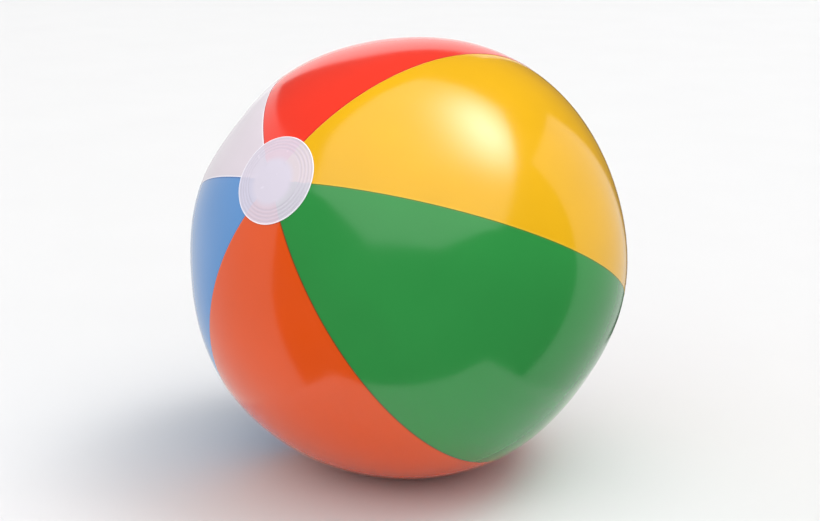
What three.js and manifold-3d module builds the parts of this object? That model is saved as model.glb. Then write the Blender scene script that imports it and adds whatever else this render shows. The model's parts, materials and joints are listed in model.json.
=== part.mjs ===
// Inflatable beach ball: six vinyl gores welded pole to pole, a film disc over each pole,
// and a push-in inflation valve with its plug on a strap and a check flap inside.
// Millimetres, +Z up. The ball stands on z = 0 above the origin. Its poles lie in the YZ
// plane, the front pole tipped up towards -Y, and the valve looks along +Y.

import * as THREE from 'three';
import { mergeVertices } from 'three/addons/utils/BufferGeometryUtils.js';
import Module from 'manifold-3d';

// Ball
const equatorRadius = 165;
const shoulderDip = 0.104; // how far the film falls away between equator and pole
const poleRise = 0.083; // and how far it comes back at the pole
const seamRidge = 1.0; // seams stand this far proud of the mean shape, gore middles below
const seamRidgeSwell = 1.75; // extra ridge between the equator and the poles
const poleTilt = 30; // front pole above the horizontal, degrees
const floorSag = 1.5; // depth of the flat patch that the soft ball stands on

// Vinyl film and its welds
const filmThickness = 0.25;
const filmGap = 0.1; // between two films that lie on each other
const lapWidth = 5; // a gore's edge over its neighbour
const lapRamp = 2; // where the film steps up on to the lap
const discThickness = 0.3;
const discRadius = 31.6; // along the surface
const discShift = 1.9; // the front disc is welded on this far above its pole
const poleOpening = 13.5; // hole that the gore tips leave under the disc

// Gores, clockwise round the front pole: welded width on the equator and lean of the seam
// where the gore starts, in degrees. Hand-fed welds are never quite even.
const firstSeam = -39.6; // clockwise from the top
const gores = [
  { name: 'gore_red', width: 60.5, lean: -2, colour: 0xf23a2a },
  { name: 'gore_yellow', width: 61.5, lean: 0, colour: 0xf5bf25 },
  { name: 'gore_green', width: 60, lean: 0, colour: 0x2a8f48 },
  { name: 'gore_orange', width: 65, lean: 4, colour: 0xe0561c },
  { name: 'gore_blue', width: 60, lean: 3.5, colour: 0x5a8fcc },
  { name: 'gore_white', width: 53, lean: 2, colour: 0xe4dde2 },
];

// Grid of the gore shells, degrees
const rowStep = 7.5;
const lastFullRow = 78.75;
const cellsAcross = 6;
const contactLongitude = 180; // the gore above the floor has one cell centred here
const contactHalfCell = 4.3;

// Valve, heights measured along +Y from the film
const flangeRadius = 14;
const flangeHole = 8;
const flangeFoot = 0.4; // clears the film, which slopes a little under the flange
const flangeThickness = 0.55;
const filmHole = 9.5;
const webThickness = 0.5;
const webRootDepth = 8;
const stemRadius = 5;
const stemBore = 3.2;
const stemRim = 1.6;
const stemEnd = -14;
const beadRadius = 5.6;
const valveGap = 0.3; // between the valve's own pieces
const capRadius = 5.5;
const capThickness = 1.2;
const tabReach = 3;
const tabWidth = 4;
const strapThickness = 0.6;
const strapWidth = 3;
const strapFold = 13; // the fold's distance from the valve axis
const flapRadius = 4.5;
const flapThickness = 0.5;
const flapTabWidth = 3;
const roundSides = 32;

const radians = THREE.MathUtils.degToRad;
const frontPole = new THREE.Vector3(0, -Math.cos(radians(poleTilt)), Math.sin(radians(poleTilt)));
const poleTop = new THREE.Vector3(0, Math.sin(radians(poleTilt)), Math.cos(radians(poleTilt)));
const poleRight = new THREE.Vector3(1, 0, 0);

// A seam's longitude, clockwise from the top, at a latitude north of the equator.
// Seam 0 starts the first gore and seam 6 is seam 0 again, one turn on.
function seamLongitude(seam, latitude) {
  let start = firstSeam;
  for (let i = 0; i < seam; i += 1) {
    start += gores[i % gores.length].width;
  }
  const lean = gores[seam % gores.length].lean;
  return start + lean * Math.sin(radians(latitude));
}

// How far across its gore a longitude lies, 0 at one seam and 1 at the next.
function gorePhase(latitude, longitude) {
  const first = seamLongitude(0, latitude);
  const turned = first + THREE.MathUtils.euclideanModulo(longitude - first, 360);
  let gore = 0;
  while (turned >= seamLongitude(gore + 1, latitude)) {
    gore += 1;
  }
  const start = seamLongitude(gore, latitude);
  return (turned - start) / (seamLongitude(gore + 1, latitude) - start);
}

// Distance from the ball's centre to the outer face of the film.
function meanRadius(latitude) {
  const s2 = Math.sin(radians(latitude)) ** 2;
  return equatorRadius * (1 - shoulderDip * s2 + poleRise * s2 * s2);
}

function ridgeHeight(latitude) {
  const s2 = Math.sin(radians(latitude)) ** 2;
  return (1 - s2) * (seamRidge + seamRidgeSwell * s2);
}

function filmRadius(latitude, longitude) {
  const wave = Math.cos(2 * Math.PI * gorePhase(latitude, longitude));
  return meanRadius(latitude) + ridgeHeight(latitude) * wave;
}

const poleRadius = meanRadius(90);
const centreHeight = filmRadius(-poleTilt, contactLongitude) - floorSag;
const valveLatitude = poleTilt - 90;
const valveReach = filmRadius(valveLatitude, 0);

// A point on the ball, lifted off the outer face of a single film by the given amount.
function ballPoint(latitude, longitude, lift) {
  const north = Math.sin(radians(latitude));
  const out = Math.cos(radians(latitude));
  const point = new THREE.Vector3()
    .addScaledVector(frontPole, north)
    .addScaledVector(poleTop, out * Math.cos(radians(longitude)))
    .addScaledVector(poleRight, out * Math.sin(radians(longitude)));
  point.multiplyScalar(filmRadius(latitude, longitude) + lift);
  point.z += centreHeight;
  point.z = Math.max(point.z, -lift);
  return point;
}

function evenSteps(from, to, cells) {
  return Array.from({ length: cells + 1 }, (_, i) => from + ((to - from) * i) / cells);
}

// The angle of longitude that a width along a parallel takes up.
function widthAngle(width, latitude) {
  return THREE.MathUtils.radToDeg(width / (meanRadius(latitude) * Math.cos(radians(latitude))));
}

// Closed thin shell between two grids of points, [row][column]. Both faces split their cells
// along the same diagonal, so the wall keeps its thickness.
function shellGeometry(outer, inner) {
  const rows = outer.length;
  const columns = outer[0].length;
  const points = [...outer.flat(), ...inner.flat()];
  const at = (side, row, column) => (side * rows + row) * columns + column;
  const triangles = [];
  const quad = (a, b, c, d) => triangles.push(a, b, c, a, c, d);
  for (let r = 0; r < rows - 1; r += 1) {
    for (let c = 0; c < columns - 1; c += 1) {
      quad(at(0, r, c), at(0, r + 1, c), at(0, r + 1, c + 1), at(0, r, c + 1));
      quad(at(1, r, c), at(1, r, c + 1), at(1, r + 1, c + 1), at(1, r + 1, c));
    }
  }
  const lastRow = rows - 1;
  const lastColumn = columns - 1;
  for (let c = 0; c < lastColumn; c += 1) {
    quad(at(0, 0, c), at(0, 0, c + 1), at(1, 0, c + 1), at(1, 0, c));
    quad(at(0, lastRow, c + 1), at(0, lastRow, c), at(1, lastRow, c), at(1, lastRow, c + 1));
  }
  for (let r = 0; r < lastRow; r += 1) {
    quad(at(0, r + 1, 0), at(0, r, 0), at(1, r, 0), at(1, r + 1, 0));
    quad(at(0, r, lastColumn), at(0, r + 1, lastColumn), at(1, r + 1, lastColumn), at(1, r, lastColumn));
  }
  const geometry = new THREE.BufferGeometry().setFromPoints(points);
  geometry.setIndex(triangles);
  geometry.computeVertexNormals();
  return geometry;
}

// Longitudes of a gore's own grid between its start seam and its lap.
function panelSteps(start, end) {
  const low = contactLongitude - contactHalfCell;
  const high = contactLongitude + contactHalfCell;
  if (start > low || end < high) {
    return evenSteps(start, end, cellsAcross);
  }
  const before = Math.round(((low - start) / (end - start)) * (cellsAcross - 1));
  const after = cellsAcross - 1 - before;
  return [...evenSteps(start, low, before), ...evenSteps(high, end, after)];
}

// One gore. Its start edge runs on under its neighbour; its end edge steps up on to the next.
function goreGeometry(gore) {
  const tip = 90 - THREE.MathUtils.radToDeg(poleOpening / poleRadius);
  const fullRows = evenSteps(-lastFullRow, lastFullRow, (2 * lastFullRow) / rowStep);
  const raise = filmThickness + filmGap;
  const outer = [];
  const inner = [];
  for (const latitude of [-tip, ...fullRows, tip]) {
    const lap = widthAngle(lapWidth, latitude);
    const ramp = widthAngle(lapRamp, latitude);
    const start = seamLongitude(gore, latitude);
    const end = seamLongitude(gore + 1, latitude);
    const flat = [start - lap, ...panelSteps(start, end - lap - ramp)];
    const raised = [end - lap, end];
    const row = (offset) => [
      ...flat.map((longitude) => ballPoint(latitude, longitude, offset)),
      ...raised.map((longitude) => ballPoint(latitude, longitude, offset + raise)),
    ];
    outer.push(row(0));
    inner.push(row(-filmThickness));
  }
  return shellGeometry(outer, inner);
}

// Film disc over a pole, about +Y: a shallow cap that clears the lapped gore tips.
function endDiscGeometry() {
  const raise = filmThickness + 2 * filmGap;
  const edge = THREE.MathUtils.radToDeg(discRadius / poleRadius);
  const tip = THREE.MathUtils.radToDeg(poleOpening / poleRadius);
  const steps = [0, tip / 2, tip, (tip + edge) / 2, 90 - lastFullRow, edge];
  const profile = (lift) => steps.map((angle) => {
    const reach = meanRadius(90 - angle) + ridgeHeight(90 - angle) + lift;
    return new THREE.Vector2(reach * Math.sin(radians(angle)), reach * Math.cos(radians(angle)));
  });
  const under = profile(raise);
  const over = profile(raise + discThickness).reverse();
  return new THREE.LatheGeometry([...under, ...over], roundSides);
}

function turned(points) {
  const outline = points.map(([radius, height]) => new THREE.Vector2(radius, height));
  return new THREE.LatheGeometry([...outline, outline[0]], roundSides);
}

// Solids for cutting and joining
const wasm = await Module();
wasm.setup();

function toSolid(geometry) {
  const bare = geometry.clone();
  bare.deleteAttribute('normal');
  bare.deleteAttribute('uv');
  const merged = mergeVertices(bare, 1e-4);
  return new wasm.Manifold(new wasm.Mesh({
    numProp: 3,
    vertProperties: Float32Array.from(merged.attributes.position.array),
    triVerts: Uint32Array.from(merged.index.array),
  }));
}

function toGeometry(solid) {
  const mesh = solid.getMesh();
  const geometry = new THREE.BufferGeometry();
  geometry.setAttribute('position', new THREE.BufferAttribute(mesh.vertProperties, 3));
  geometry.setIndex(new THREE.BufferAttribute(mesh.triVerts, 1));
  geometry.computeVertexNormals();
  return geometry;
}

// The gore that holds the valve, with the round hole the stem passes through.
function cutValveHole(geometry) {
  const depth = 20;
  const drill = new THREE.CylinderGeometry(filmHole, filmHole, depth, roundSides);
  drill.translate(0, valveReach, centreHeight);
  return toGeometry(toSolid(geometry).subtract(toSolid(drill)));
}

// Welded ring on the film, about +Y
function flangeGeometry() {
  const fall = flangeRadius ** 2 / (2 * poleRadius) / 2;
  return turned([
    [flangeHole, flangeFoot],
    [flangeRadius, flangeFoot - fall],
    [flangeRadius, flangeFoot - fall + flangeThickness],
    [flangeHole, flangeFoot + flangeThickness],
  ]);
}

// Soft cone that rolls through as the stem is pulled out or pushed in
function webGeometry() {
  const top = flangeFoot + flangeThickness;
  const wide = flangeHole - valveGap;
  const narrow = stemRadius + valveGap;
  return turned([
    [narrow, -webRootDepth],
    [narrow + webThickness, -webRootDepth],
    [wide, top - webThickness],
    [wide, top],
    [wide - webThickness, top],
  ]);
}

function stemGeometry() {
  const chamfer = 0.3;
  const beadDepth = 1.2;
  return turned([
    [stemBore, stemEnd],
    [stemRadius, stemEnd],
    [stemRadius, stemRim - beadDepth - chamfer],
    [beadRadius, stemRim - beadDepth],
    [beadRadius, stemRim],
    [stemBore, stemRim],
  ]);
}

// Cap with a round-nosed plug below it and a finger tab on the side away from the strap
function plugGeometry() {
  const under = stemRim + valveGap;
  const top = under + capThickness;
  const body = turned([
    [0, stemRim - 5],
    [2.05, stemRim - 5],
    [2.42, stemRim - 4],
    [2.75, stemRim - 2.5],
    [2.93, stemRim - 1],
    [3, under],
    [capRadius, under],
    [capRadius, top],
    [0, top],
  ]);
  const tab = new THREE.BoxGeometry(tabWidth, capThickness * 0.7, capRadius);
  tab.translate(0, under + capThickness * 0.4, -(capRadius / 2 + tabReach));
  return toGeometry(toSolid(body).add(toSolid(tab)));
}

// Strap from the stem's bead out to a fold and back to the cap
function strapGeometry() {
  const low = stemRim - strapThickness;
  const high = stemRim + valveGap + (capThickness - strapThickness) / 2 + strapThickness;
  const foldHeight = (low + high) / 2;
  const outerBend = (high - low) / 2;
  const innerBend = outerBend - strapThickness;
  const outline = new THREE.Shape();
  outline.moveTo(beadRadius + valveGap, low);
  outline.lineTo(strapFold, low);
  outline.absarc(strapFold, foldHeight, outerBend, -Math.PI / 2, Math.PI / 2, false);
  outline.lineTo(capRadius + valveGap, high);
  outline.lineTo(capRadius + valveGap, high - strapThickness);
  outline.lineTo(strapFold, high - strapThickness);
  outline.absarc(strapFold, foldHeight, innerBend, Math.PI / 2, -Math.PI / 2, true);
  outline.lineTo(beadRadius + valveGap, stemRim);
  outline.closePath();
  const strap = new THREE.ExtrudeGeometry(outline, {
    depth: strapWidth,
    bevelEnabled: false,
    curveSegments: 6,
  });
  strap.translate(0, 0, -strapWidth / 2);
  return strap.rotateY(-Math.PI / 2);
}

// Round flap that hangs closed over the stem's inner end, with its hinge tab at the top
function flapGeometry() {
  const outline = new THREE.Shape();
  const half = flapTabWidth / 2;
  const corner = Math.asin(half / flapRadius);
  outline.absarc(0, 0, flapRadius, Math.PI / 2 + corner, Math.PI / 2 - corner + 2 * Math.PI, false);
  outline.lineTo(half, stemRadius);
  outline.lineTo(-half, stemRadius);
  outline.closePath();
  const flap = new THREE.ExtrudeGeometry(outline, {
    depth: flapThickness,
    bevelEnabled: false,
    curveSegments: 12,
  });
  flap.rotateX(Math.PI / 2);
  return flap.translate(0, stemEnd - valveGap, 0);
}

function vinyl(colour) {
  return new THREE.MeshStandardMaterial({ color: colour, roughness: 0.18, metalness: 0 });
}

function softPlastic(colour) {
  return new THREE.MeshStandardMaterial({ color: colour, roughness: 0.35, metalness: 0 });
}

function named(name, geometry, material) {
  const mesh = new THREE.Mesh(geometry, material);
  mesh.name = name;
  return mesh;
}

const ball = new THREE.Group();
const clearFilm = 0xdcdbe6;
const valveWhite = 0xe9eaee;

gores.forEach((gore, index) => {
  const shell = goreGeometry(index);
  const holdsValve = gore.name === 'gore_red';
  ball.add(named(gore.name, holdsValve ? cutValveHole(shell) : shell, vinyl(gore.colour)));
});

for (const [name, side, shift] of [['end_disc_front', 1, discShift], ['end_disc_rear', -1, 0]]) {
  const disc = named(name, endDiscGeometry(), vinyl(clearFilm));
  const outwards = frontPole.clone().multiplyScalar(side);
  outwards.addScaledVector(poleTop, shift / poleRadius).normalize();
  disc.quaternion.setFromUnitVectors(new THREE.Vector3(0, 1, 0), outwards);
  disc.position.z = centreHeight;
  ball.add(disc);
}

const valve = new THREE.Group();
valve.position.set(0, valveReach, centreHeight);
valve.add(named('valve_flange', flangeGeometry(), softPlastic(valveWhite)));
valve.add(named('valve_web', webGeometry(), softPlastic(valveWhite)));
valve.add(named('valve_stem', stemGeometry(), softPlastic(valveWhite)));
valve.add(named('check_flap', flapGeometry(), softPlastic(valveWhite)));
valve.add(named('plug_strap', strapGeometry(), softPlastic(valveWhite)));
valve.add(named('valve_plug', plugGeometry(), softPlastic(valveWhite)));
ball.add(valve);

export default ball;
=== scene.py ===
"""Looks of an inflatable beach ball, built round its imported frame. Metres, +Z up.

Six glossy vinyl gores run from pole to pole, each lapped over the next and welded. A milky
film disc closes each pole, and a push-in valve sits on the side that faces +Y.
"""

import json
import math

import bpy
import numpy as np
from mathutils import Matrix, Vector


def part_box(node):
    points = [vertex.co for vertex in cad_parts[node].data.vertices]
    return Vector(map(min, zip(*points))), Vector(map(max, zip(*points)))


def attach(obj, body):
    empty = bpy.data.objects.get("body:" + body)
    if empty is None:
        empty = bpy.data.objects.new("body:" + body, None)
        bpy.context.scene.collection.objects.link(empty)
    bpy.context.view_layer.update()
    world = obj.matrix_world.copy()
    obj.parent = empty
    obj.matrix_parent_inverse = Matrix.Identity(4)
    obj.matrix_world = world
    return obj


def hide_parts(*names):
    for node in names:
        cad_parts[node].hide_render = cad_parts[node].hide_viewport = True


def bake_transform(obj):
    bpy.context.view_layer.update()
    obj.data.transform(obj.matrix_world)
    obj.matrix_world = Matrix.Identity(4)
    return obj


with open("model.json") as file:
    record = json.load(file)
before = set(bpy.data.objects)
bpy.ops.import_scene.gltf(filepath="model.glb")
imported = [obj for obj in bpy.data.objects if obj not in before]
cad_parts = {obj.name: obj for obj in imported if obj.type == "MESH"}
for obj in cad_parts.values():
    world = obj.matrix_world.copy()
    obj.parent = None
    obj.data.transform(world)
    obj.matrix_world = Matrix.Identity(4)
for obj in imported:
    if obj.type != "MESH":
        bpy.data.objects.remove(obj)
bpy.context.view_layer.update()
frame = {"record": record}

MM = 0.001

# Ball, in millimetres and degrees, as the CAD source has it
EQUATOR_RADIUS = 165
SHOULDER_DIP = 0.104
POLE_RISE = 0.083
SEAM_RIDGE = 1.0
SEAM_RIDGE_SWELL = 1.75
POLE_TILT = 30
FIRST_SEAM = -39.6
GORES = (  # name, welded width, lean of the seam where the gore starts
    ("gore_red", 60.5, -2.0),
    ("gore_yellow", 61.5, 0.0),
    ("gore_green", 60.0, 0.0),
    ("gore_orange", 65.0, 4.0),
    ("gore_blue", 60.0, 3.5),
    ("gore_white", 53.0, 2.0),
)
FILM_THICKNESS = 0.25
LAP_WIDTH = 5.0
DISC_RADIUS = 31.6
DISC_SHIFT = 1.9  # the front disc is welded on this far above its pole
DISC_THICKNESS = 0.3
POLE_OPENING = 13.5

# Welds: both films are squeezed thin under the lap, and the top one ends in a small bead
WELD_THICKNESS = 0.12
WELD_RISE = 0.03
WELD_SINK = 0.11
WELD_RAMP = 8.0
BEAD_HEIGHT = 0.05
BEAD_WIDTH = 0.35
GROOVE_DEPTH = 0.05
# Along the seams the colour holds painted light and shade: a painted highlight on some gores and a
# painted shadow on others, where a lap catches light or shades the film beside it
TOP_EDGE_PAINTED_SHADING = 0.8  # width of the painted light and shade along a gore's top edge
UNDER_EDGE_PAINTED_SHADING = 0.6  # width of the painted light and shade along the edge that goes under its neighbour
EDGE_ROUNDING = 0.03
UNDER_EDGE_PAINTED_SHADING_START = 0.1
EDGE_STEPS = (0.0, 0.12, 0.3, 0.5, 0.75, 1.05, 1.5, 2.3, 3.6, 5.5, 8.0)

# End discs: rings pressed into the welded border, at shares of the disc's radius, and a rim bead
RING_COUNT = 4
RING_INNER = 0.66
RING_OUTER = 0.98
RING_HEIGHT = 0.17
RIM_BEAD_PLACE = 0.985
RIM_BEAD_WIDTH = 0.013
RIM_BEAD_HEIGHT = 0.22
RIM_ROUNDING = 0.12
RIM_PALE_AND_HIGHLIGHT = 0.9  # strength of the pale line along the rim, partly the bead's whiter film and partly a painted highlight, then its place and width
RIM_LINE_PLACE = 0.99
RIM_LINE_WIDTH = 0.012
# strength of the painted shade in the pressed rings
RING_PAINTED_SHADE = 0.4
DISC_GAP = WELD_RISE + BEAD_HEIGHT + 0.03
SEAM_BULGE_HEIGHT = 0.10  # the seams under a disc lift it a little
SEAM_BULGE_WIDTH = 2.0
TIP_STEP = 2.0  # the disc rises on to the gore tips, and their tint fades in, over these widths
TIP_FADE = 6.0

# Slow undulations of the blown-up film
SWELL_HEIGHT = 0.10

GORE_ROWS = 132
GORE_COLUMNS = 40
ROUND_SIDES = 96

# Valve, in millimetres: radii about its axis, heights outwards from the film
FLANGE_RADIUS = 14.0
FLANGE_HOLE = 8.0
FLANGE_THICKNESS = 0.85
FLANGE_GROOVES = (12.6, 10.9)
FILM_HOLE = 9.5
WEB_THICKNESS = 0.5
WEB_SEAM = 0.04
WEB_ROOT = -8.0
STEM_RADIUS = 5.0
STEM_BORE = 3.2
STEM_RIM = 1.6
STEM_END = -14.0
STEM_RIBS = (-12.6, -11.2, -9.8)
BEAD_RADIUS = 5.6
VALVE_GAP = 0.3
CAP_RADIUS = 5.5
CAP_THICKNESS = 1.2
NOSE_DEPTH = 5.0
TAB_REACH = 3.0
TAB_WIDTH = 4.0
STRAP_THICKNESS = 0.6
STRAP_WIDTH = 3.0
STRAP_FOLD = 13.0
FLAP_RADIUS = 4.5
FLAP_THICKNESS = 0.5
FLAP_TAB_WIDTH = 3.0

tilt = math.radians(POLE_TILT)
FRONT_POLE = np.array((0.0, -math.cos(tilt), math.sin(tilt)))
POLE_TOP = np.array((0.0, math.sin(tilt), math.cos(tilt)))
POLE_RIGHT = np.array((1.0, 0.0, 0.0))


def mount_position(name):
    mounts = {mount["name"]: mount for mount in frame["record"]["mounts"]}
    return np.array(mounts[name]["pos_m"]) / MM


BALL_CENTRE = mount_position("hand_hold")


# ---------------------------------------------------------------- shape of the ball


def smooth(x):
    x = np.clip(x, 0.0, 1.0)
    return x * x * (3.0 - 2.0 * x)


def bump(x, width):
    return np.exp(-((x / width) ** 2))


def seam_longitude(seam, latitude):
    start = FIRST_SEAM + sum(width for _, width, _ in GORES[:seam])
    lean = GORES[seam % len(GORES)][2]
    return start + lean * np.sin(np.radians(latitude))


def gore_place(latitude, longitude):
    """The gore that a point lies on, and how far across it: 0 at one seam and 1 at the next."""
    first = seam_longitude(0, latitude)
    turned = first + (longitude - first) % 360.0
    gores = np.zeros(np.shape(turned), int)
    phase = np.zeros(np.shape(turned))
    for gore in range(len(GORES)):
        start = seam_longitude(gore, latitude)
        end = seam_longitude(gore + 1, latitude)
        inside = (turned >= start) & (turned < end)
        gores = np.where(inside, gore, gores)
        phase = np.where(inside, (turned - start) / (end - start), phase)
    return gores, phase


def gore_phase(latitude, longitude):
    return gore_place(latitude, longitude)[1]


def mean_radius(latitude):
    s2 = np.sin(np.radians(latitude)) ** 2
    return EQUATOR_RADIUS * (1.0 - SHOULDER_DIP * s2 + POLE_RISE * s2 * s2)


def film_radius(latitude, longitude):
    s2 = np.sin(np.radians(latitude)) ** 2
    ridge = (1.0 - s2) * (SEAM_RIDGE + SEAM_RIDGE_SWELL * s2)
    return mean_radius(latitude) + ridge * np.cos(2.0 * math.pi * gore_phase(latitude, longitude))


def directions(latitude, longitude):
    latitude, longitude = np.radians(latitude), np.radians(longitude)
    out = np.cos(latitude)
    parts = (
        (np.sin(latitude), FRONT_POLE),
        (out * np.cos(longitude), POLE_TOP),
        (out * np.sin(longitude), POLE_RIGHT),
    )
    return sum(amount[..., None] * axis for amount, axis in parts)


def swell(direction):
    """Gentle unevenness of the film, a few slow waves over the ball."""
    x, y, z = np.moveaxis(direction, -1, 0)
    waves = (
        np.sin(5.1 * x + 3.7 * y + 0.6)
        + np.sin(6.3 * z - 4.9 * x + 2.1)
        + 0.7 * np.sin(9.2 * y + 7.4 * z + 4.0)
        + 0.5 * np.sin(13.0 * x - 8.1 * z + 1.3)
    )
    return SWELL_HEIGHT * waves / 3.2


def ball_points(latitude, longitude, lift):
    """Points on the ball in millimetres, lifted off the outer face of the film."""
    latitude, longitude, lift = np.broadcast_arrays(latitude, longitude, lift)
    direction = directions(latitude, longitude)
    reach = film_radius(latitude, longitude) + swell(direction) + lift
    points = direction * reach[..., None] + BALL_CENTRE
    # the ball flattens where it stands, and the film turns up out of the flat softly
    floor = 0.02 - np.minimum(lift, 0.0)
    turn = 0.5
    above = points[..., 2] - floor
    points[..., 2] = floor + 0.5 * (above + np.sqrt(above**2 + turn**2))
    return points


# ---------------------------------------------------------------- mesh making


def add_object(name, points, faces, material, smooth_faces=True):
    mesh = bpy.data.meshes.new(name)
    mesh.from_pydata((np.asarray(points) * MM).tolist(), [], faces)
    mesh.polygons.foreach_set("use_smooth", [smooth_faces] * len(mesh.polygons))
    mesh.update()
    piece = bpy.data.objects.new(name, mesh)
    bpy.context.scene.collection.objects.link(piece)
    if material is not None:
        mesh.materials.append(material)
    return piece


def shell_faces(rows, columns):
    """Faces of a closed thin shell between an outer and an inner grid of points."""

    def at(side, row, column):
        return (side * rows + row) * columns + column

    faces = []
    for r in range(rows - 1):
        for c in range(columns - 1):
            faces.append((at(0, r, c), at(0, r + 1, c), at(0, r + 1, c + 1), at(0, r, c + 1)))
            faces.append((at(1, r, c), at(1, r, c + 1), at(1, r + 1, c + 1), at(1, r + 1, c)))
    last_row, last_column = rows - 1, columns - 1
    for c in range(last_column):
        faces.append((at(0, 0, c), at(0, 0, c + 1), at(1, 0, c + 1), at(1, 0, c)))
        faces.append(
            (at(0, last_row, c + 1), at(0, last_row, c), at(1, last_row, c), at(1, last_row, c + 1))
        )
    for r in range(last_row):
        faces.append((at(0, r + 1, 0), at(0, r, 0), at(1, r, 0), at(1, r + 1, 0)))
        faces.append(
            (
                at(0, r, last_column),
                at(0, r + 1, last_column),
                at(1, r + 1, last_column),
                at(1, r, last_column),
            )
        )
    return faces


def turned_faces(profile_points, sides):
    """Faces of a closed outline turned about an axis; ring k holds the outline at side k."""
    faces = []
    for side in range(sides):
        here = side * profile_points
        there = ((side + 1) % sides) * profile_points
        for k in range(profile_points):
            nxt = (k + 1) % profile_points
            faces.append((here + k, there + k, there + nxt, here + nxt))
    return faces


def rounded(outline, radius, steps=4):
    """A closed outline with each corner that has a radius replaced by a small arc."""
    result = []
    count = len(outline)
    for k in range(count):
        corner = np.array(outline[k], float)
        before = np.array(outline[k - 1], float) - corner
        after = np.array(outline[(k + 1) % count], float) - corner
        cut = min(radius, 0.45 * np.linalg.norm(before), 0.45 * np.linalg.norm(after))
        start = corner + before / np.linalg.norm(before) * cut
        end = corner + after / np.linalg.norm(after) * cut
        for step in range(steps + 1):
            t = step / steps
            result.append(tuple((1 - t) ** 2 * start + 2 * t * (1 - t) * corner + t**2 * end))
    return result


def set_attribute(piece, name, values):
    attribute = piece.data.attributes.new(name, "FLOAT", "POINT")
    attribute.data.foreach_set("value", np.asarray(values, np.float32).ravel())


def set_colour(piece, name, colours):
    attribute = piece.data.attributes.new(name, "FLOAT_COLOR", "POINT")
    values = np.column_stack((colours, np.ones(len(colours))))
    attribute.data.foreach_set("color", values.astype(np.float32).ravel())


# ---------------------------------------------------------------- materials


def new_material(name):
    material = bpy.data.materials.new(name)
    material.use_nodes = True
    tree = material.node_tree
    return material, tree, tree.nodes["Principled BSDF"]


def add_node(tree, kind, inputs=None, **settings):
    node = tree.nodes.new(kind)
    for key, value in settings.items():
        setattr(node, key, value)
    for key, value in (inputs or {}).items():
        if isinstance(value, bpy.types.NodeSocket):
            tree.links.new(value, node.inputs[key])
        else:
            node.inputs[key].default_value = value
    return node


def object_noise(tree, scale, detail=2.0, roughness=0.5):
    place = add_node(tree, "ShaderNodeTexCoord")
    return add_node(
        tree,
        "ShaderNodeTexNoise",
        {"Vector": place.outputs["Object"], "Scale": scale, "Detail": detail, "Roughness": roughness},
    ).outputs["Fac"]


def remap(tree, value, low, high, to_low, to_high):
    return add_node(
        tree,
        "ShaderNodeMapRange",
        {"Value": value, "From Min": low, "From Max": high, "To Min": to_low, "To Max": to_high},
    ).outputs["Result"]


def mixed(tree, factor, first, second, blend="MIX"):
    node = add_node(tree, "ShaderNodeMix", data_type="RGBA", blend_type=blend)
    for socket, value in ((node.inputs[0], factor), (node.inputs[6], first), (node.inputs[7], second)):
        if isinstance(value, bpy.types.NodeSocket):
            tree.links.new(value, socket)
        else:
            socket.default_value = value
    return node.outputs[2]


def opaque(colour):
    return (*colour, 1.0)


def scaled(colour, amount):
    return tuple(min(1.0, channel * amount) for channel in colour)


def surface_relief(tree, shader, scale, depth):
    """Very fine unevenness of the moulded or calendered surface."""
    height = object_noise(tree, scale, detail=3.0)
    relief = add_node(
        tree, "ShaderNodeBump", {"Height": height, "Strength": 1.0, "Distance": depth}
    )
    tree.links.new(relief.outputs["Normal"], shader.inputs["Normal"])


def vinyl(name, colour, top_edge_light_shade, under_edge_light_shade):
    """Glossy PVC film: a faintly cloudy colour, with painted light and shade along each of its welded
    edges.
    """
    material, tree, shader = new_material(name)
    clouds = remap(tree, object_noise(tree, 14.0), 0.35, 0.65, 0.0, 1.0)
    body = mixed(tree, clouds, opaque(scaled(colour, 0.975)), opaque(scaled(colour, 1.025)))
    # the weld attribute carries painted light and shade: above zero on the gore's top edge, below zero
    # along the edge that goes under its neighbour
    weld = add_node(tree, "ShaderNodeAttribute", attribute_name="weld").outputs["Fac"]
    raised = remap(tree, weld, 0.0, 1.0, 0.0, 1.0)
    sunk = remap(tree, weld, 0.0, -1.0, 0.0, 1.0)
    top_edge_painted = mixed(tree, raised, body, opaque(top_edge_light_shade))
    seams_painted_light_shade = mixed(tree, sunk, top_edge_painted, opaque(under_edge_light_shade))
    tree.links.new(seams_painted_light_shade, shader.inputs["Base Color"])
    haze = remap(tree, object_noise(tree, 32.0, 4.0), 0.3, 0.7, 0.13, 0.18)
    tree.links.new(haze, shader.inputs["Roughness"])
    shader.inputs["IOR"].default_value = 1.5
    surface_relief(tree, shader, 260.0, 0.000004)
    return material


def milky_film():
    """Cloudy uncoloured PVC film, tinted where the gore tips under it show through, with a pale rim that
    is partly whiter film and partly a painted highlight, and painted shade in its pressed rings.
    """
    material, tree, shader = new_material("milky_film")
    tint = add_node(tree, "ShaderNodeAttribute", attribute_name="tint").outputs["Color"]
    clouds = remap(tree, object_noise(tree, 15.0, 1.0), 0.3, 0.7, 0.95, 1.0)
    body = mixed(tree, 1.0, tint, clouds, "MULTIPLY")
    weld = add_node(tree, "ShaderNodeAttribute", attribute_name="weld").outputs["Fac"]
    # pale rim: partly the bead's whiter film, partly a painted highlight
    lit = mixed(tree, remap(tree, weld, 0.0, 1.0, 0.0, 1.0), body, (0.96, 0.96, 1.0, 1.0))
    # painted shade in the pressed rings of the border
    sunk = remap(tree, weld, 0.0, -1.0, 0.0, 1.0)
    pressed = mixed(tree, sunk, lit, (0.52, 0.46, 0.56, 1.0))
    tree.links.new(pressed, shader.inputs["Base Color"])
    haze = remap(tree, object_noise(tree, 150.0, 1.0), 0.0, 1.0, 0.23, 0.29)
    tree.links.new(haze, shader.inputs["Roughness"])
    shader.inputs["IOR"].default_value = 1.5
    return material


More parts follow.
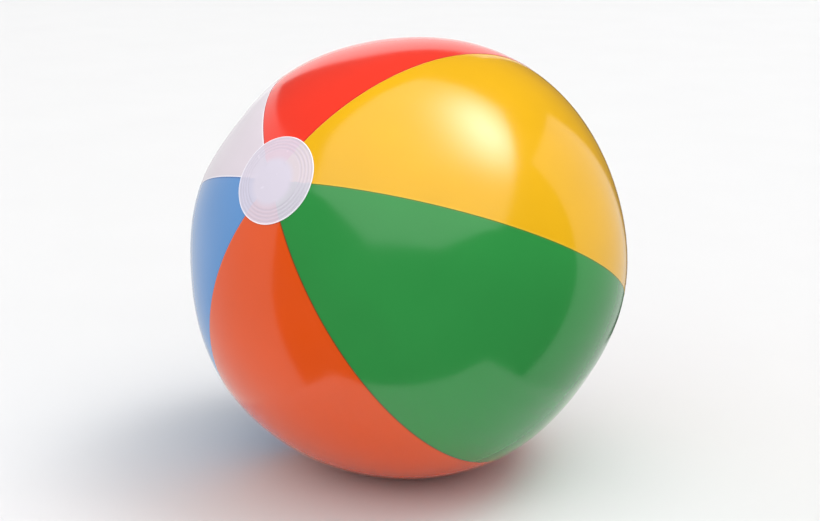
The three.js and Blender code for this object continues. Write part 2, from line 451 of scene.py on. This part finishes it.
def soft_pvc():
    """Satin moulded PVC of the valve."""
    material, tree, shader = new_material("valve_pvc")
    clouds = remap(tree, object_noise(tree, 90.0, 3.0), 0.3, 0.7, 0.0, 1.0)
    body = mixed(tree, clouds, (0.74, 0.75, 0.78, 1.0), (0.80, 0.81, 0.83, 1.0))
    tree.links.new(body, shader.inputs["Base Color"])
    haze = remap(tree, object_noise(tree, 300.0, 4.0), 0.3, 0.7, 0.30, 0.42)
    tree.links.new(haze, shader.inputs["Roughness"])
    shader.inputs["IOR"].default_value = 1.5
    shader.inputs["Subsurface Weight"].default_value = 0.25
    shader.inputs["Subsurface Radius"].default_value = (0.002, 0.002, 0.002)
    shader.inputs["Subsurface Scale"].default_value = 1.0
    surface_relief(tree, shader, 1500.0, 0.00003)
    return material


FILM_COLOUR = (0.65, 0.60, 0.70)
TIP_SHOWS = 0.12  # how much of a gore tip's colour shows through an end disc
VINYLS = {  # colour, painted light and shade on its own lapped edge, painted light and shade where it goes under its neighbour, record slot
    "gore_red": ((0.80, 0.038, 0.018), (0.60, 0.018, 0.010), (0.45, 0.015, 0.01), "red_vinyl"),
    "gore_yellow": ((0.75, 0.405, 0.006), (0.74, 0.46, 0.03), (0.78, 0.46, 0.02), "yellow_vinyl"),
    "gore_green": ((0.024, 0.255, 0.050), (0.03, 0.20, 0.04), (0.10, 0.22, 0.03), "green_vinyl"),
    "gore_orange": ((0.72, 0.074, 0.001), (0.75, 0.12, 0.02), (0.11, 0.03, 0.005), "orange_vinyl"),
    "gore_blue": ((0.088, 0.26, 0.57), (0.02, 0.09, 0.30), (0.05, 0.16, 0.42), "blue_vinyl"),
    "gore_white": ((0.67, 0.595, 0.655), (0.92, 0.88, 0.92), (0.95, 0.93, 1.0), "white_vinyl"),
}


# ---------------------------------------------------------------- gores and discs


def width_angle(width, latitude):
    """The angle of longitude that a width along a parallel takes up."""
    return np.degrees(width / (mean_radius(latitude) * np.cos(np.radians(latitude))))


def gore_grid(gore):
    """Latitude, longitude and distance inwards from both seams, for each point of a gore."""
    tip = 90.0 - math.degrees(POLE_OPENING / mean_radius(90.0))
    latitude = np.linspace(-tip, tip, GORE_ROWS)
    start = seam_longitude(gore, latitude)
    end = seam_longitude(gore + 1, latitude)
    width = (end - start) / width_angle(1.0, latitude)
    steps = np.array(EDGE_STEPS)
    squeeze = np.minimum(1.0, 0.4 * width / steps[-1])
    near = steps * squeeze[:, None]
    under = np.array((-LAP_WIDTH, -LAP_WIDTH / 2)) * squeeze[:, None]
    share = np.linspace(0.0, 1.0, GORE_COLUMNS)[1:-1]
    middle = near[:, -1:] + (width[:, None] - 2.0 * near[:, -1:]) * share
    across = np.hstack((under, near, middle, width[:, None] - near[:, ::-1]))
    latitude = np.broadcast_to(latitude[:, None], across.shape)
    longitude = start[:, None] + across * width_angle(1.0, latitude)
    return latitude, longitude, across, width[:, None] - across


def gore_shell(gore, name, material):
    latitude, longitude, from_start, from_end = gore_grid(gore)
    over_lap = 1.0 - smooth(from_end / WELD_RAMP)
    under_lap = 1.0 - smooth(from_start / WELD_RAMP)
    bead = BEAD_HEIGHT * bump(from_end - BEAD_WIDTH, BEAD_WIDTH)
    groove = GROOVE_DEPTH * bump(from_start - BEAD_WIDTH, BEAD_WIDTH)
    edge_round = EDGE_ROUNDING * (from_end < 0.01)
    lift = WELD_RISE * over_lap + bead - edge_round - WELD_SINK * under_lap - groove
    squeezed = np.maximum(1.0 - smooth((from_end - LAP_WIDTH) / WELD_RAMP), under_lap)
    thickness = FILM_THICKNESS + (WELD_THICKNESS - FILM_THICKNESS) * squeezed
    inner_lift = WELD_RISE * over_lap - WELD_SINK * under_lap - thickness
    outer = ball_points(latitude, longitude, lift)
    inner = ball_points(latitude, longitude, inner_lift)
    rows, columns = latitude.shape
    points = np.concatenate((outer.reshape(-1, 3), inner.reshape(-1, 3)))
    piece = add_object(name, points, shell_faces(rows, columns), material)
    # painted light and shade along the seams, handed to the material in the weld attribute: on the top
    # edge and beside the edge under the neighbour
    top_edge_light_shade = bump(from_end, TOP_EDGE_PAINTED_SHADING)
    under_edge_light_shade = bump(np.maximum(from_start, 0.0) - UNDER_EDGE_PAINTED_SHADING_START, UNDER_EDGE_PAINTED_SHADING)
    weld = np.where(from_end < from_start, top_edge_light_shade, -under_edge_light_shade)
    set_attribute(piece, "weld", np.concatenate((weld.ravel(), weld.ravel())))
    return piece


def film_height(across, up):
    """Height of the film over the valve's centre, at a place across and up from its axis."""
    across, up = np.asarray(across, float), np.asarray(up, float)
    centre = valve_centre()
    height = np.zeros(across.shape)
    for _ in range(8):
        offset = np.stack((across, centre[1] + height, up), -1)
        direction = offset / np.linalg.norm(offset, axis=-1)[..., None]
        latitude = np.degrees(np.arcsin(direction @ FRONT_POLE))
        longitude = np.degrees(np.arctan2(direction @ POLE_RIGHT, direction @ POLE_TOP))
        reach = film_radius(latitude, longitude) + swell(direction)
        height = np.sqrt(reach**2 - across**2 - up**2) - centre[1]
    return height


def valve_centre():
    """The point where the valve's axis meets the film, from the frame, in millimetres."""
    low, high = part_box("valve_stem")
    return np.array((0.0, high.y / MM - STEM_RIM, (low.z + high.z) / 2 / MM))


def cut_valve_hole(piece):
    """Cuts the round hole that the stem passes through, and applies the cut."""
    depth = 20.0
    angles = np.linspace(0.0, 2.0 * math.pi, ROUND_SIDES, endpoint=False)
    rings = []
    for height in (depth / 2, -depth / 2):
        ring = np.stack(
            (FILM_HOLE * np.cos(angles), np.full(ROUND_SIDES, height), FILM_HOLE * np.sin(angles)), -1
        )
        rings.append(ring + valve_centre())
    sides = [
        (k, (k + 1) % ROUND_SIDES, ROUND_SIDES + (k + 1) % ROUND_SIDES, ROUND_SIDES + k)
        for k in range(ROUND_SIDES)
    ]
    ends = [tuple(range(ROUND_SIDES))[::-1], tuple(range(ROUND_SIDES, 2 * ROUND_SIDES))]
    drill = add_object("valve_drill", np.concatenate(rings), sides + ends, None, False)
    cut = piece.modifiers.new("valve_hole", "BOOLEAN")
    cut.operation = "DIFFERENCE"
    cut.solver = "EXACT"
    cut.object = drill
    bpy.context.view_layer.update()
    cut_mesh = bpy.data.meshes.new_from_object(piece.evaluated_get(bpy.context.evaluated_depsgraph_get()))
    piece.modifiers.clear()
    piece.data = cut_mesh
    bpy.data.objects.remove(drill)


def make_gores():
    for gore, (name, _, _) in enumerate(GORES):
        colour, top_edge_light_shade, under_edge_light_shade, slot = VINYLS[name]
        material = vinyl(slot, colour, top_edge_light_shade, under_edge_light_shade)
        piece = gore_shell(gore, name + "_film", material)
        if name == "gore_red":
            cut_valve_hole(piece)
        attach(piece, "ball")
        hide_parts(name)


def around(axis, angle, turn):
    """Latitude and longitude of the points at an angle from an axis, in degrees."""
    axis = axis / np.linalg.norm(axis)
    across = np.cross(POLE_RIGHT, axis)
    angle, turn = np.radians(angle)[..., None], np.radians(turn)[..., None]
    sideways = np.cos(turn) * across + np.sin(turn) * POLE_RIGHT
    direction = np.cos(angle) * axis + np.sin(angle) * sideways
    latitude = np.degrees(np.arcsin(np.clip(direction @ FRONT_POLE, -1.0, 1.0)))
    longitude = np.degrees(np.arctan2(direction @ POLE_RIGHT, direction @ POLE_TOP))
    return latitude, longitude


def end_disc(name, side, shift, material):
    """Film disc over a pole, with rings pressed into its welded border and a beaded rim."""
    # rows of points, close together over the rings and closer still at the rim
    inner_steps = np.linspace(0.0, 0.65, 40)[1:]
    ring_steps = np.linspace(RING_INNER, 0.96, 60)
    rim_steps = np.array((0.968, 0.976, 0.984, 0.991, 0.997, 1.0))
    share = np.concatenate((inner_steps, ring_steps, rim_steps))
    angle = np.degrees(share * DISC_RADIUS / mean_radius(90.0))
    turn = np.linspace(0.0, 360.0, 2 * ROUND_SIDES + 1)
    axis = side * FRONT_POLE * mean_radius(90.0) + POLE_TOP * shift
    latitude, longitude = around(axis, angle[:, None] * np.ones_like(turn), turn)
    along = (share[:, None] - RING_INNER) / (RING_OUTER - RING_INNER)
    on_border = (along > 0.0) & (along < 1.0)
    pressed = on_border * (1.0 - np.cos(2.0 * math.pi * RING_COUNT * along)) / 2.0
    rings = -RING_HEIGHT * pressed
    rim = RIM_BEAD_HEIGHT * bump(share[:, None] - RIM_BEAD_PLACE, RIM_BEAD_WIDTH)
    rim_round = RIM_ROUNDING * (share[:, None] > 0.999)
    gores, phase = gore_place(latitude, longitude)
    from_pole = np.radians(90.0 - np.abs(latitude)) * mean_radius(90.0)
    seam_distance = np.minimum(phase, 1.0 - phase) * math.radians(360.0 / len(GORES)) * from_pole
    over_tips = smooth((from_pole - POLE_OPENING) / TIP_STEP)
    bulge = SEAM_BULGE_HEIGHT * over_tips * bump(seam_distance, SEAM_BULGE_WIDTH)
    top = DISC_GAP + DISC_THICKNESS
    outer = ball_points(latitude, longitude, top + rings + rim - rim_round + bulge)
    inner = ball_points(latitude, longitude, DISC_GAP)
    rows = len(share)
    columns = len(turn) - 1
    points = [outer[:, :-1].reshape(-1, 3), inner[:, :-1].reshape(-1, 3)]
    centre_latitude, centre_longitude = around(axis, np.zeros(1), np.zeros(1))
    for lift in (top, DISC_GAP):
        points.append(ball_points(centre_latitude, centre_longitude, lift))
    top_pole, under_pole = 2 * rows * columns, 2 * rows * columns + 1

    def at(layer, row, column):
        return (layer * rows + row) * columns + column % columns

    faces = []
    for c in range(columns):
        faces.append((top_pole, at(0, 0, c), at(0, 0, c + 1)))
        faces.append((under_pole, at(1, 0, c + 1), at(1, 0, c)))
        for r in range(rows - 1):
            faces.append((at(0, r, c), at(0, r + 1, c), at(0, r + 1, c + 1), at(0, r, c + 1)))
            faces.append((at(1, r, c), at(1, r, c + 1), at(1, r + 1, c + 1), at(1, r + 1, c)))
        last = rows - 1
        faces.append((at(0, last, c), at(1, last, c), at(1, last, c + 1), at(0, last, c + 1)))
    piece = add_object(name + "_film", np.concatenate(points), faces, material)
    # the weld attribute: a pale rim, partly whiter film and partly a painted highlight, less painted
    # shade in the pressed rings
    rim_pale_and_highlight = RIM_PALE_AND_HIGHLIGHT * bump(share[:, None] - RIM_LINE_PLACE, RIM_LINE_WIDTH)
    rim_light_ring_shade = rim_pale_and_highlight - RING_PAINTED_SHADE * pressed**2
    rim_light_ring_shade = (rim_light_ring_shade * np.ones((rows, columns))).ravel()
    set_attribute(piece, "weld", np.concatenate((rim_light_ring_shade, rim_light_ring_shade, (0.0, 0.0))))
    tips = np.array([VINYLS[gore_name][0] for gore_name, _, _ in GORES])[gores[:, :-1]]
    over = TIP_SHOWS * smooth((from_pole[:, :-1] - POLE_OPENING) / TIP_FADE)[..., None]
    tint = ((1.0 - over) * np.array(FILM_COLOUR) + over * tips).reshape(-1, 3)
    set_colour(piece, "tint", np.concatenate((tint, tint, (FILM_COLOUR, FILM_COLOUR))))
    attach(piece, "ball")
    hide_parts(name)


# ---------------------------------------------------------------- valve


def valve_points(radius, height, turn):
    """Points about the valve's axis in millimetres; turn 0 is up (+Z), heights go out (+Y)."""
    radius, height, turn = np.broadcast_arrays(radius, height, turn)
    return np.stack((radius * np.sin(turn), height, radius * np.cos(turn)), -1) + valve_centre()


def turned_piece(name, outline, material, corner=0.12, height_of=None):
    """A closed outline of (radius, height) turned about the valve's axis."""
    profile = np.array(rounded(outline, corner) if corner else outline)
    turns = np.linspace(0.0, 2.0 * math.pi, ROUND_SIDES, endpoint=False)
    radius = profile[None, :, 0] * np.ones((ROUND_SIDES, 1))
    height = profile[None, :, 1] * np.ones((ROUND_SIDES, 1))
    if height_of is not None:
        height = height + height_of(radius * np.sin(turns[:, None]), radius * np.cos(turns[:, None]))
    points = valve_points(radius, height, turns[:, None]).reshape(-1, 3)
    faces = turned_faces(len(profile), ROUND_SIDES)
    return add_object(name, points, faces, material)


def make_flange(material):
    """Ring welded round the hole, following the film, with two weld grooves and a thin rim."""
    gap = 0.12
    top = gap + FLANGE_THICKNESS
    groove = 0.22
    outline = [(FLANGE_HOLE, gap), (FLANGE_RADIUS, gap), (FLANGE_RADIUS, gap + 0.35)]
    for middle in FLANGE_GROOVES:
        outline += [(middle + 0.55, top - 0.1), (middle + 0.25, top - groove - 0.1)]
        outline += [(middle - 0.25, top - groove - 0.1), (middle - 0.55, top - 0.1)]
    outline += [(FLANGE_HOLE + 0.9, top), (FLANGE_HOLE, top)]
    piece = turned_piece("valve_flange_ring", outline, material, 0.2, film_height)
    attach(piece, "ball")
    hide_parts("valve_flange")


def make_web(material):
    """Soft cone between flange and stem, made in one fixed shape that doesn't follow the stem."""
    top = 0.95
    wide = FLANGE_HOLE - WEB_SEAM
    narrow = STEM_RADIUS + VALVE_GAP
    levels = np.linspace(0.0, 1.0, 22)
    curve = narrow + WEB_THICKNESS / 2 + (wide - narrow - WEB_THICKNESS) * smooth(levels) ** 0.8
    heights = WEB_ROOT + (top - WEB_ROOT) * levels
    outer = [(r + WEB_THICKNESS / 2, h) for r, h in zip(curve, heights)]
    inner = [(r - WEB_THICKNESS / 2, h) for r, h in zip(curve, heights)][::-1]
    piece = turned_piece("valve_web_cone", outer + inner, material, 0.0)
    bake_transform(piece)
    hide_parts("valve_web")


def make_stem(material):
    """Tube with a thick lip and three gripping ribs on its shank."""
    outline = [(STEM_BORE, STEM_END), (STEM_RADIUS, STEM_END)]
    for middle in STEM_RIBS:
        outline += [(STEM_RADIUS, middle - 0.3), (STEM_RADIUS + 0.18, middle)]
        outline += [(STEM_RADIUS, middle + 0.3)]
    outline += [
        (STEM_RADIUS, STEM_RIM - 1.5),
        (BEAD_RADIUS, STEM_RIM - 1.2),
        (BEAD_RADIUS, STEM_RIM),
        (STEM_BORE, STEM_RIM),
    ]
    piece = turned_piece("valve_stem_tube", outline, material, 0.25)
    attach(piece, "stem")
    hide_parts("valve_stem")


def plate(name, outline, low, high, material, corner=0.12):
    """A flat plate: an outline of (across, up) points with rounded rims, between two heights."""
    outline = np.array(outline)
    after = np.roll(outline, -1, 0) - outline
    before = outline - np.roll(outline, 1, 0)
    along = after + before
    normal = np.stack((along[:, 1], -along[:, 0]), -1)
    normal /= np.linalg.norm(normal, axis=1)[:, None]
    area = np.sum(outline[:, 0] * np.roll(outline[:, 1], -1) - np.roll(outline[:, 0], -1) * outline[:, 1])
    inward = -normal if area > 0 else normal
    layers = []
    for share in (0.0, 0.3, 1.0):
        layers.append((low + corner * share, corner * (1.0 - share) ** 2))
    for share in (1.0, 0.3, 0.0):
        layers.append((high - corner * share, corner * (1.0 - share) ** 2))
    count = len(outline)
    points = []
    for height, inset in layers:
        ring = outline + inward * inset
        points.append(np.stack((ring[:, 0], np.full(count, height), ring[:, 1]), -1))
    faces = []
    for layer in range(len(layers) - 1):
        for k in range(count):
            nxt = (k + 1) % count
            here, there = layer * count, (layer + 1) * count
            faces.append((here + k, there + k, there + nxt, here + nxt))
    faces.append(tuple(range(count)))
    faces.append(tuple(range((len(layers) - 1) * count, len(layers) * count))[::-1])
    if area < 0:
        faces = [face[::-1] for face in faces]
    return add_object(name, np.concatenate(points) + valve_centre(), faces, material)


def make_flap(material):
    """Round flap over the stem's inner end, hanging from a short tab."""
    half = FLAP_TAB_WIDTH / 2
    corner = math.asin(half / FLAP_RADIUS)
    sweep = np.linspace(math.pi / 2 + corner, 5 * math.pi / 2 - corner, 61)
    outline = [(FLAP_RADIUS * math.cos(a), FLAP_RADIUS * math.sin(a)) for a in sweep]
    outline += [(half, STEM_RADIUS), (-half, STEM_RADIUS)]
    high = STEM_END - VALVE_GAP
    piece = plate("check_flap_disc", outline, high - FLAP_THICKNESS, high, material)
    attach(piece, "flap")
    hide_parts("check_flap")


def make_strap(material):
    """Strap from the stem's lip out to a fold and back to the cap."""
    low = STEM_RIM - STRAP_THICKNESS
    high = STEM_RIM + VALVE_GAP + (CAP_THICKNESS - STRAP_THICKNESS) / 2 + STRAP_THICKNESS
    fold_height = (low + high) / 2
    bend = (high - low - STRAP_THICKNESS) / 2
    run = STRAP_FOLD - BEAD_RADIUS - VALVE_GAP
    lower = [(BEAD_RADIUS + VALVE_GAP + run * t, fold_height - bend) for t in np.linspace(0, 1, 12)]
    turns = np.linspace(-math.pi / 2, math.pi / 2, 15)[1:-1]
    arc = [(STRAP_FOLD + bend * math.cos(a), fold_height + bend * math.sin(a)) for a in turns]
    back = STRAP_FOLD - CAP_RADIUS - VALVE_GAP
    upper = [(STRAP_FOLD - back * t, fold_height + bend) for t in np.linspace(0, 1, 12)]
    path = np.array(lower + arc + upper)
    along = np.gradient(path, axis=0)
    side = np.stack((along[:, 1], -along[:, 0]), -1)
    side /= np.linalg.norm(side, axis=1)[:, None]
    half_thickness = STRAP_THICKNESS / 2
    half_width = STRAP_WIDTH / 2
    section = rounded(
        [
            (-half_width, -half_thickness),
            (half_width, -half_thickness),
            (half_width, half_thickness),
            (-half_width, half_thickness),
        ],
        0.18,
    )
    rings = []
    for spot, out in zip(path, side):
        for across, thick in section:
            up, height = spot + out * thick
            rings.append((across, height, up))
    count = len(section)
    faces = []
    for ring in range(len(path) - 1):
        for k in range(count):
            nxt = (k + 1) % count
            here, there = ring * count, (ring + 1) * count
            faces.append((here + k, there + k, there + nxt, here + nxt))
    faces.append(tuple(range(count)))
    faces.append(tuple(range((len(path) - 1) * count, len(path) * count))[::-1])
    centre = valve_centre()
    piece = add_object("plug_strap_band", np.array(rings) + centre, faces, material)
    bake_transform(piece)
    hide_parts("plug_strap")


def make_plug(material):
    """Cap with a dished top and a round-nosed plug below it, and a ribbed finger tab."""
    under = STEM_RIM + VALVE_GAP
    top = under + CAP_THICKNESS
    nose = STEM_RIM - NOSE_DEPTH
    axis = 0.01
    outline = [
        (axis, nose),
        (1.7, nose),
        (2.35, nose + 0.9),
        (2.75, nose + 2.5),
        (2.93, nose + 4.0),
        (2.95, under),
        (CAP_RADIUS, under),
        (CAP_RADIUS, top),
        (4.4, top),
        (3.9, top - 0.25),
        (axis, top - 0.25),
    ]
    cap = turned_piece("valve_plug_cap", outline, material, 0.22)
    half = TAB_WIDTH / 2
    inner_end = -(CAP_RADIUS - 0.35)
    outer_end = -(CAP_RADIUS + TAB_REACH)
    sweep = np.linspace(0.0, math.pi, 17)
    tip = [(half * math.cos(a), outer_end + half - half * math.sin(a)) for a in sweep]
    outline = [(-half, inner_end), (half, inner_end)] + tip
    tab = plate("valve_plug_tab", outline, under + 0.1, top - 0.2, material, 0.2)
    for offset in (0.0, 1.0, 2.0):
        rib_place = outer_end + 1.0 + offset
        reach = half - 0.5
        rib = [(-reach, rib_place - 0.2), (reach, rib_place - 0.2)]
        rib += [(reach, rib_place + 0.2), (-reach, rib_place + 0.2)]
        name = f"valve_plug_rib_{int(offset)}"
        ridge = plate(name, rib, top - 0.3, top + 0.02, material, 0.1)
        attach(ridge, "plug")
    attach(tab, "plug")
    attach(cap, "plug")
    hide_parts("valve_plug")


# ---------------------------------------------------------------- studio

CAMERA_AZIMUTH = 39.4
CAMERA_ELEVATION = 15.2
CAMERA_DISTANCE = 1121.0
CAMERA_RIGHT = 2.67
CAMERA_DOWN = 2.92
CAMERA_LENS = 66.03

facing = math.radians(CAMERA_AZIMUTH)
TOWARDS_CAMERA = np.array((math.sin(facing), -math.cos(facing), 0.0))
CAMERA_SIDE = np.array((math.cos(facing), math.sin(facing), 0.0))
UP = np.array((0.0, 0.0, 1.0))


# Softbox: direction of its middle in degrees, corners and lamp in shares of its distance
SOFTBOX_AZIMUTH = 20.0
SOFTBOX_ELEVATION = 62.0
SOFTBOX_DISTANCE = 30000.0
SOFTBOX_CORNERS = ((-1.3, 0.35), (0.3, 1.15), (0.9, 0.7), (0.6, -0.6), (-0.2, -1.1), (-1.0, -0.9))
SOFTBOX_STRENGTH = 1.6
LAMP_ACROSS = 0.56
LAMP_HEIGHT = 0.36
LAMP_STRENGTH = 10.4
LAMP_WIDTH = 8600.0

# The softbox, the boards and the sheet are sized so that their reflections are like the photo's.
# Boards round the ball, in millimetres across, towards the camera and up from its centre
LEFT_SIDE = -167.0
RIGHT_SIDE = 190.0
BOARD_TOP = 192.0
FAR_BACK = -700.0
LEFT_FRONT = 155.0
RIGHT_FOOT = 171.0  # the right board's front edge leans back from foot to head
RIGHT_HEAD = 95.0
RIGHT_BOW = 13.0
GAP_START = -35.0
GAP_FOOT = -100.0
BACK_PLACE = -200.0
BACK_RIGHT = 118.0
BACK_RIGHT_TOP = 275.0
BACK_BOW = 58.0

# Sheet of paper under the ball, in the same millimetres
SHEET_BACK = -600.0
SHEET_LEFT_FRONT = 145.0
SHEET_FRONT_LEFT = (-150.0, 230.0)
SHEET_FRONT_RIGHT = (180.0, 305.0)
SHEET_BOW = 8.0
SHEET_RIGHT_FRONT = 230.0


def make_camera():
    rise = math.radians(CAMERA_ELEVATION)
    back = math.cos(rise) * TOWARDS_CAMERA + math.sin(rise) * UP
    up = np.cross(back, CAMERA_SIDE)
    place = BALL_CENTRE + CAMERA_DISTANCE * back + CAMERA_RIGHT * CAMERA_SIDE - CAMERA_DOWN * up
    camera = bpy.data.objects.new("camera", bpy.data.cameras.new("camera"))
    camera.data.lens = CAMERA_LENS
    camera.data.clip_end = 100.0
    camera.location = place * MM
    camera.rotation_mode = "QUATERNION"
    camera.rotation_quaternion = Vector(-back).to_track_quat("-Z", "Y")
    bpy.context.scene.collection.objects.link(camera)
    bpy.context.scene.camera = camera


def studio_point(right, front, height):
    """A point given across, towards the camera and up from the ball's centre, in millimetres."""
    return BALL_CENTRE + right * CAMERA_SIDE + front * TOWARDS_CAMERA + height * UP


def sky_point(azimuth, elevation, distance):
    """A far point by its direction: azimuth 0 is towards the camera, 90 to its right."""
    turn, rise = math.radians(azimuth), math.radians(elevation)
    out = distance * math.cos(rise)
    return studio_point(out * math.sin(turn), out * math.cos(turn), distance * math.sin(rise))


def glow(name, strength, spot=None, spot_strength=0.0, spot_width=1.0):
    """A plain light-emitting surface, with a brighter spot if one is given."""
    material = bpy.data.materials.new(name)
    material.use_nodes = True
    tree = material.node_tree
    tree.nodes.clear()
    light = add_node(tree, "ShaderNodeEmission", {"Strength": strength})
    if spot is not None:
        place = add_node(tree, "ShaderNodeTexCoord")
        away = add_node(
            tree,
            "ShaderNodeVectorMath",
            {0: place.outputs["Object"], 1: tuple(spot * MM)},
            operation="DISTANCE",
        ).outputs["Value"]
        share = add_node(tree, "ShaderNodeMath", {0: away, 1: spot_width * MM}, operation="DIVIDE")
        square = add_node(tree, "ShaderNodeMath", {0: share.outputs[0], 1: 2.0}, operation="POWER")
        minus = add_node(tree, "ShaderNodeMath", {0: square.outputs[0], 1: -1.0}, operation="MULTIPLY")
        fall = add_node(tree, "ShaderNodeMath", {0: minus.outputs[0]}, operation="EXPONENT")
        extra = add_node(
            tree, "ShaderNodeMath", {0: fall.outputs[0], 1: spot_strength}, operation="MULTIPLY"
        )
        total = add_node(tree, "ShaderNodeMath", {0: extra.outputs[0], 1: strength}, operation="ADD")
        tree.links.new(total.outputs[0], light.inputs["Strength"])
    output = add_node(tree, "ShaderNodeOutputMaterial")
    tree.links.new(light.outputs[0], output.inputs["Surface"])
    return material


def board(name, corners, material, lights_surfaces=False):
    """A stage board seen only in reflections, or a lamp if it also lights surfaces."""
    piece = add_object(name, corners, [tuple(range(len(corners)))], material, False)
    piece.visible_camera = False
    piece.visible_shadow = False
    piece.visible_transmission = False
    piece.visible_diffuse = lights_surfaces
    return piece


def bowed(start, end, bow, steps=12):
    """Points from start to end on a shallow parabola, off the straight line by bow halfway."""
    start, end = np.array(start), np.array(end)
    along = end - start
    off = np.array((-along[1], along[0])) / np.hypot(*along)
    share = np.linspace(0.0, 1.0, steps + 1)[:, None]
    return start + along * share + 4.0 * share * (1.0 - share) * bow * off


def make_softbox():
    """Big soft light over the camera's right shoulder, with its lamp's hot spot."""
    middle = sky_point(SOFTBOX_AZIMUTH, SOFTBOX_ELEVATION, SOFTBOX_DISTANCE)
    side = sky_point(SOFTBOX_AZIMUTH + 90.0, 0.0, SOFTBOX_DISTANCE) - BALL_CENTRE
    up = sky_point(SOFTBOX_AZIMUTH, SOFTBOX_ELEVATION + 90.0, SOFTBOX_DISTANCE) - BALL_CENTRE
    corners = [middle + across * side + height * up for across, height in SOFTBOX_CORNERS]
    lamp = middle + LAMP_ACROSS * side + LAMP_HEIGHT * up
    light = glow("softbox_glow", SOFTBOX_STRENGTH, lamp, LAMP_STRENGTH, LAMP_WIDTH)
    board("softbox", corners, light, True)


def make_light_tent():
    """White boards that stand left, right and behind, seen as soft panels in the gloss.

    The gap over the right and back boards' low far ends shows as the dark line along the
    ball's right edge.
    """
    floor = -BALL_CENTRE[2]
    front_edge = bowed((RIGHT_FOOT, floor), (RIGHT_HEAD, BOARD_TOP), RIGHT_BOW)
    far_end = ((GAP_START, BOARD_TOP), (GAP_START, GAP_FOOT), (FAR_BACK, GAP_FOOT), (FAR_BACK, floor))
    corners = [studio_point(RIGHT_SIDE, front, height) for front, height in (*front_edge, *far_end)]
    board("right_board", corners, glow("right_glow", 0.9))
    left_board = ((LEFT_FRONT, floor), (LEFT_FRONT, BOARD_TOP), (FAR_BACK, BOARD_TOP), (FAR_BACK, floor))
    corners = [studio_point(LEFT_SIDE, front, height) for front, height in left_board]
    board("left_board", corners, glow("left_glow", 0.85))
    top_edge = bowed((LEFT_SIDE, BOARD_TOP), (BACK_RIGHT, BACK_RIGHT_TOP), BACK_BOW)
    low_end = ((BACK_RIGHT, GAP_FOOT), (RIGHT_SIDE, GAP_FOOT), (RIGHT_SIDE, floor))
    back_board = ((LEFT_SIDE, floor), *top_edge, *low_end)
    corners = [studio_point(across, BACK_PLACE, height) for across, height in back_board]
    board("back_board", corners, glow("back_glow", 1.0))


def floor_material():
    """Pale paper, a little brighter in the gloss."""
    material, tree, shader = new_material("pale_floor")
    grain = remap(tree, object_noise(tree, 6.0, 4.0), 0.3, 0.7, 0.0, 1.0)
    paper = mixed(tree, grain, (0.69, 0.69, 0.69, 1.0), (0.70, 0.70, 0.70, 1.0))
    in_gloss = add_node(tree, "ShaderNodeLightPath").outputs["Is Glossy Ray"]
    shown = mixed(tree, in_gloss, paper, (0.90, 0.90, 0.90, 1.0))
    tree.links.new(shown, shader.inputs["Base Color"])
    shader.inputs["Roughness"].default_value = 0.9
    shader.inputs["Specular IOR Level"].default_value = 0.0
    return material


def make_floor():
    """A sheet of paper under the ball, on a wide floor that the gloss doesn't show."""
    material = floor_material()
    floor = -BALL_CENTRE[2]
    front_edge = bowed(SHEET_FRONT_LEFT, SHEET_FRONT_RIGHT, SHEET_BOW)
    left_edge = ((LEFT_SIDE, SHEET_BACK), (LEFT_SIDE, SHEET_LEFT_FRONT))
    right_edge = ((RIGHT_SIDE, SHEET_RIGHT_FRONT), (RIGHT_SIDE, SHEET_BACK))
    sheet = (*left_edge, *front_edge, *right_edge)
    corners = [studio_point(across, front, floor) for across, front in sheet]
    paper = add_object("paper_floor", corners, [tuple(range(len(corners)))], material, False)
    reach = 9000.0
    below = floor - 0.05
    corners = [studio_point(*spot, below) for spot in
               ((-reach, -reach), (reach, -reach), (reach, reach), (-reach, reach))]
    wide = add_object("wide_floor", corners, [(0, 1, 2, 3)], material, False)
    wide.visible_glossy = False
    wide.visible_diffuse = False


def make_world():
    """Pale to the camera, dim in the gloss, and a soft fill that is strongest from low left."""
    world = bpy.data.worlds.new("studio_room")
    bpy.context.scene.world = world
    world.use_nodes = True
    tree = world.node_tree
    tree.nodes.clear()
    path = add_node(tree, "ShaderNodeLightPath")
    place = add_node(tree, "ShaderNodeTexCoord")
    low_left = -0.87 * UP - 0.5 * CAMERA_SIDE
    towards = add_node(
        tree,
        "ShaderNodeVectorMath",
        {0: place.outputs["Generated"], 1: tuple(low_left)},
        operation="DOT_PRODUCT",
    ).outputs["Value"]
    share = remap(tree, towards, -0.35, 0.5, 0.0, 1.0)
    fill = mixed(tree, share, (0.45, 0.45, 0.46, 1.0), (1.18, 1.18, 1.18, 1.0))
    dim = (0.10, 0.10, 0.10, 1.0)
    pale = (0.92, 0.92, 0.92, 1.0)
    gloss = mixed(tree, path.outputs["Is Glossy Ray"], fill, dim)
    seen = mixed(tree, path.outputs["Is Camera Ray"], gloss, pale)
    shader = add_node(tree, "ShaderNodeBackground", {"Color": seen, "Strength": 1.0})
    output = add_node(tree, "ShaderNodeOutputWorld")
    tree.links.new(shader.outputs[0], output.inputs["Surface"])


# ---------------------------------------------------------------- the scene

bpy.context.scene.view_settings.view_transform = "Standard"
make_camera()
make_world()
make_softbox()
make_light_tent()
make_floor()

make_gores()
film = milky_film()
end_disc("end_disc_front", 1, DISC_SHIFT, film)
end_disc("end_disc_rear", -1, 0.0, film)

pvc = soft_pvc()
make_flange(pvc)
make_web(pvc)
make_stem(pvc)
make_flap(pvc)
make_strap(pvc)
make_plug(pvc)
